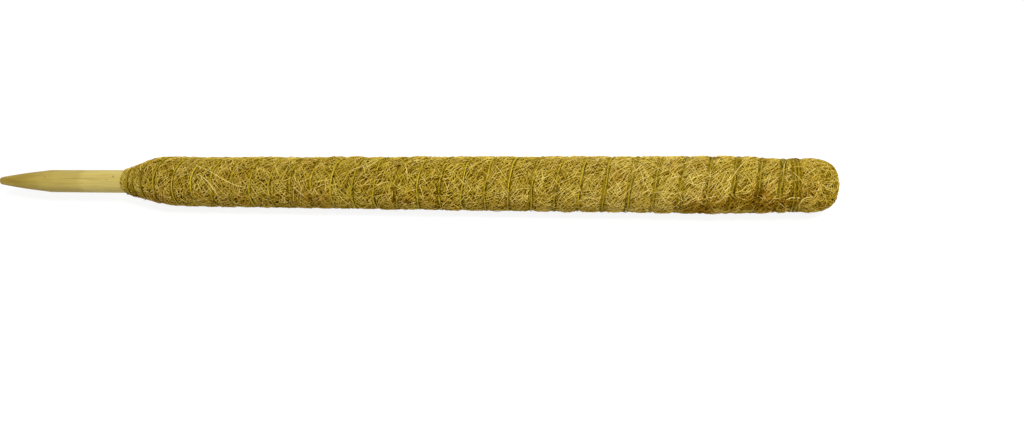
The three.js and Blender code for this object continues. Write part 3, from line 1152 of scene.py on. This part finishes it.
hairs = lift_and_build("coir_loose_hairs", surface, angle, height, hair_thick, hair_tone, hair_hue)
fibre_pieces.append(hairs)
print(len(HAIRS), "loose hairs")

# %% [markdown]
# On the dome the fibres swirl round a place a little off the end of the pole. They are drawn as curls
# on a flat disc, whose middle is the end of the pole, and the disc is then bent over the dome. Their
# starts follow the spiral of a sunflower's seeds, which fills a disc evenly.

# %% Fibres on the dome
DOME_FIBRES = {"ground": 640, "top": 620}
SWIRL_X = -5.8
SWIRL_Y = 6.9
DOME_STEPS = 7
DOME_OVERLAP = 4
DOME_THINNER = 0.78
DOME_DARKER = 0.13
DOME_EYE = 0.5
GOLDEN_ANGLE = math.pi * (3 - math.sqrt(5))
dome_reach = dome_way[-1] - BRIDGE + DOME_OVERLAP
share = np.linspace(0, 1, DOME_STEPS)
for kind_name, count in DOME_FIBRES.items():
    kind = KINDS[kind_name]
    lengths = np.clip(rng.lognormal(mean=math.log(8.5), sigma=0.35, size=count), a_min=4, a_max=20)
    number = np.arange(count) + rng.random()
    start_reach = dome_reach * np.sqrt(number / count)
    start_x = start_reach * np.cos(GOLDEN_ANGLE * number)
    start_y = start_reach * np.sin(GOLDEN_ANGLE * number)
    round_swirl = np.arctan2(start_y - SWIRL_Y, start_x - SWIRL_X) + math.pi / 2
    heading = round_swirl + rng.normal(scale=0.9, size=count)
    flat_x, flat_y = bending_lines(DOME_STEPS, lengths, heading, curl=1 / 13)
    flat_x = flat_x + start_x[:, None]
    flat_y = flat_y + start_y[:, None]
    way = DOME_START + dome_way[-1] - np.minimum(np.hypot(flat_x, flat_y), dome_way[-1] - DOME_EYE)
    angle = np.arctan2(flat_y, flat_x)
    level = rng.uniform(*kind["level"], count)
    height = waving_height(level, share, wander=(0.05, 0.2), dip=END_DIP)
    thick = rng.uniform(*kind["thick"], count) * DOME_THINNER
    brown = old_fibre_and_underside_shade(way[:, DOME_STEPS // 2], angle[:, DOME_STEPS // 2])
    tone = kind["tone"] - DOME_DARKER + rng.normal(scale=0.18, size=count) - age_and_underside_shade(brown)
    hue = rng.normal(loc=0.3, scale=0.2, size=count) + HUE_BROWN * brown
    name = f"coir_dome_{kind_name}"
    surface = cover_surface(way, angle)
    fibre_pieces.append(lift_and_build(name, surface, angle, height, thick, tone, hue))
print(DOME_FIBRES, "fibres on the dome")

# %% [markdown]
# One finish serves all fibres. The fibre's place on its own UV map is its tone and hue: along the
# map from dark to straw, and up the map from olive to brown. Dry coir is matt, so it has no gloss.

# %% Finish of the fibres
coir = Finish("coir_fibre")
own_map = coir.node("ShaderNodeUVMap", {"uv_map": BAKE_MAP})
tone_value = coir.part(own_map, "X")
hue_value = coir.part(own_map, "Y")
olive = coir.ramp(
    tone_value, (0.0, srgb(64, 43, 0)), (0.35, srgb(139, 113, 8)), (0.6, srgb(190, 164, 46)),
    (0.8, srgb(221, 197, 93)), (1.0, srgb(240, 222, 136)))
russet = coir.ramp(
    tone_value, (0.0, srgb(60, 35, 0)), (0.35, srgb(130, 92, 10)), (0.6, srgb(178, 141, 46)),
    (0.8, srgb(214, 182, 95)), (1.0, srgb(236, 210, 136)))
coir.set(Base_Color=coir.mix(hue_value, olive, russet), Roughness=0.7, Specular_IOR_Level=0.0)
for piece in fibre_pieces:
    piece.data.materials.append(coir.material)
    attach(piece, "root")
fibre_faces = sum(len(piece.data.polygons) for piece in fibre_pieces)
print(len(fibre_pieces), "meshes of fibres,", fibre_faces, "faces")

# %% [markdown]
# ## The twine
# The twine is a little greener and glossier than the coir. Near the neck it is painted darker, as
# painted shade where its turns lie in shadow, and towards the top it is darker too.

# %% Finish of the twine
FINE_SHARE = 0.6
CLOUD_SHARE = 0.5
NECK_AND_TOP_DARKENING = 0.8
NECK_SHADE_SPAN = (TIP_X + (MAT_START + 45) * MM, TIP_X + (MAT_START + 20) * MM)
TOP_DARKER_SPAN = (TIP_X + 420 * MM, TIP_X + 520 * MM)
twine = Finish("twisted_twine")
spot = twine.object_spot()
fine = twine.noise(spot, scale=700.0, detail=3.0)
cloud = twine.noise(spot, scale=45.0)
shade = (fine * FINE_SHARE + cloud * CLOUD_SHARE).clamped()
twine_tint = twine.ramp(
    shade, (0.30, srgb(132, 113, 10)), (0.55, srgb(162, 141, 22)), (0.78, srgb(192, 170, 46)))
twine_x = twine.part(spot, "X")
# Darker near the neck as painted shade, and darker towards the top.
shaded_neck = twine.rise(twine_x, *NECK_SHADE_SPAN)
darker_top = twine.rise(twine_x, *TOP_DARKER_SPAN)
neck_shade_and_darker_top = (shaded_neck + darker_top) * NECK_AND_TOP_DARKENING
twine.set(Base_Color=twine.mix(neck_shade_and_darker_top, twine_tint, rgba(128, 110, 10)))
twine.set(Roughness=0.5, Specular_IOR_Level=0.15)
print("finish of the twine:", twine.material.name)

# %% [markdown]
# The twine is two yarns twisted together. Its section is a round with two lobes, which turns as it
# goes along, so the twist catches the light. On its UV map each turn is a row of its own, with the
# way along the turn and the way round the twine.

# %% Wind the twine
STEPS_PER_TURN = 180
TWINE_SIDES = 10
LAY = 3.4
LOBE_CORE = 0.86
LOBE_HEIGHT = 0.2
END_TRIM = 0.0025
TWINE_SWAY = 0.35
ROW_MARGIN = 0.05
ROW_SHARE = 0.9
END_SPOT = 0.01
END_SPOT_R = 0.004


def twine_map(count, rows):
    """The UV map of a winding with so many steps and turns."""
    step_id = np.repeat(np.arange(count - 1), TWINE_SIDES)
    side_id = np.tile(np.arange(TWINE_SIDES), count - 1)
    left = (step_id % STEPS_PER_TURN) / STEPS_PER_TURN
    right = left + 1 / STEPS_PER_TURN
    bottom = (step_id // STEPS_PER_TURN + ROW_MARGIN + ROW_SHARE * side_id / TWINE_SIDES) / rows
    top = bottom + ROW_SHARE / TWINE_SIDES / rows
    edges = ((left, bottom), (left, top), (right, top), (right, bottom))
    quad_uv = np.stack([np.stack(edge, axis=-1) for edge in edges], axis=1)
    ring = np.linspace(0, math.tau, TWINE_SIDES, endpoint=False)
    end_uv = END_SPOT + END_SPOT_R * np.stack([np.cos(ring), np.sin(ring)], axis=-1)
    return np.concatenate([quad_uv.reshape(-1, 2), end_uv, end_uv])


def wind_twine(name, first_turn, last_turn):
    """A twisted tube along the winding from one turn to another."""
    count = int(round((last_turn - first_turn) * STEPS_PER_TURN)) + 1
    turns = np.linspace(first_turn + END_TRIM, last_turn - END_TRIM, count)
    along = twine_at(turns)
    angle = PHASE - math.tau * turns
    room = np.minimum(np.gradient(along) * STEPS_PER_TURN / WINDING_PITCH, 1)
    swayed = along + TWINE_SWAY * lumps(along, angle) * room
    points = place(swayed, angle, seat(along, angle) + SEAT_GAP + TWINE_R) / MM
    tangents = np.gradient(points, axis=0)
    steps = np.linalg.norm(tangents, axis=1)
    tangents /= steps[:, None]
    outward = np.stack([np.zeros(count), np.cos(angle), np.sin(angle)], axis=1)
    outward -= (outward * tangents).sum(1, keepdims=True) * tangents
    outward /= np.linalg.norm(outward, axis=1, keepdims=True)
    across = np.cross(tangents, outward)
    twist = math.tau * np.cumsum(steps) / LAY
    corners = []
    for side in range(TWINE_SIDES):
        turn = math.tau * side / TWINE_SIDES
        lobe = TWINE_R * (LOBE_CORE + LOBE_HEIGHT * np.cos(2 * (turn - twist / 2)))
        corners.append(points + lobe[:, None] * (math.cos(turn) * outward + math.sin(turn) * across))
    corners = np.stack(corners, axis=1)[None] * MM
    return tube_mesh(name, corners, twine_map(count, int(math.ceil(last_turn - first_turn))))


windings = (
    ("twine_neck", "neck_lashing", 0, BODY_FIRST),
    ("twine_body", "body_winding", BODY_FIRST, GATHER_FIRST),
    ("twine_top", "top_lashing", GATHER_FIRST, ALL_TURNS),
)
for name, node, first_turn, last_turn in windings:
    piece = wind_twine(name, first_turn, last_turn)
    piece.data.materials.append(twine.material)
    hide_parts(node)
    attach(piece, "root")
    print(name, len(piece.data.polygons), "faces")
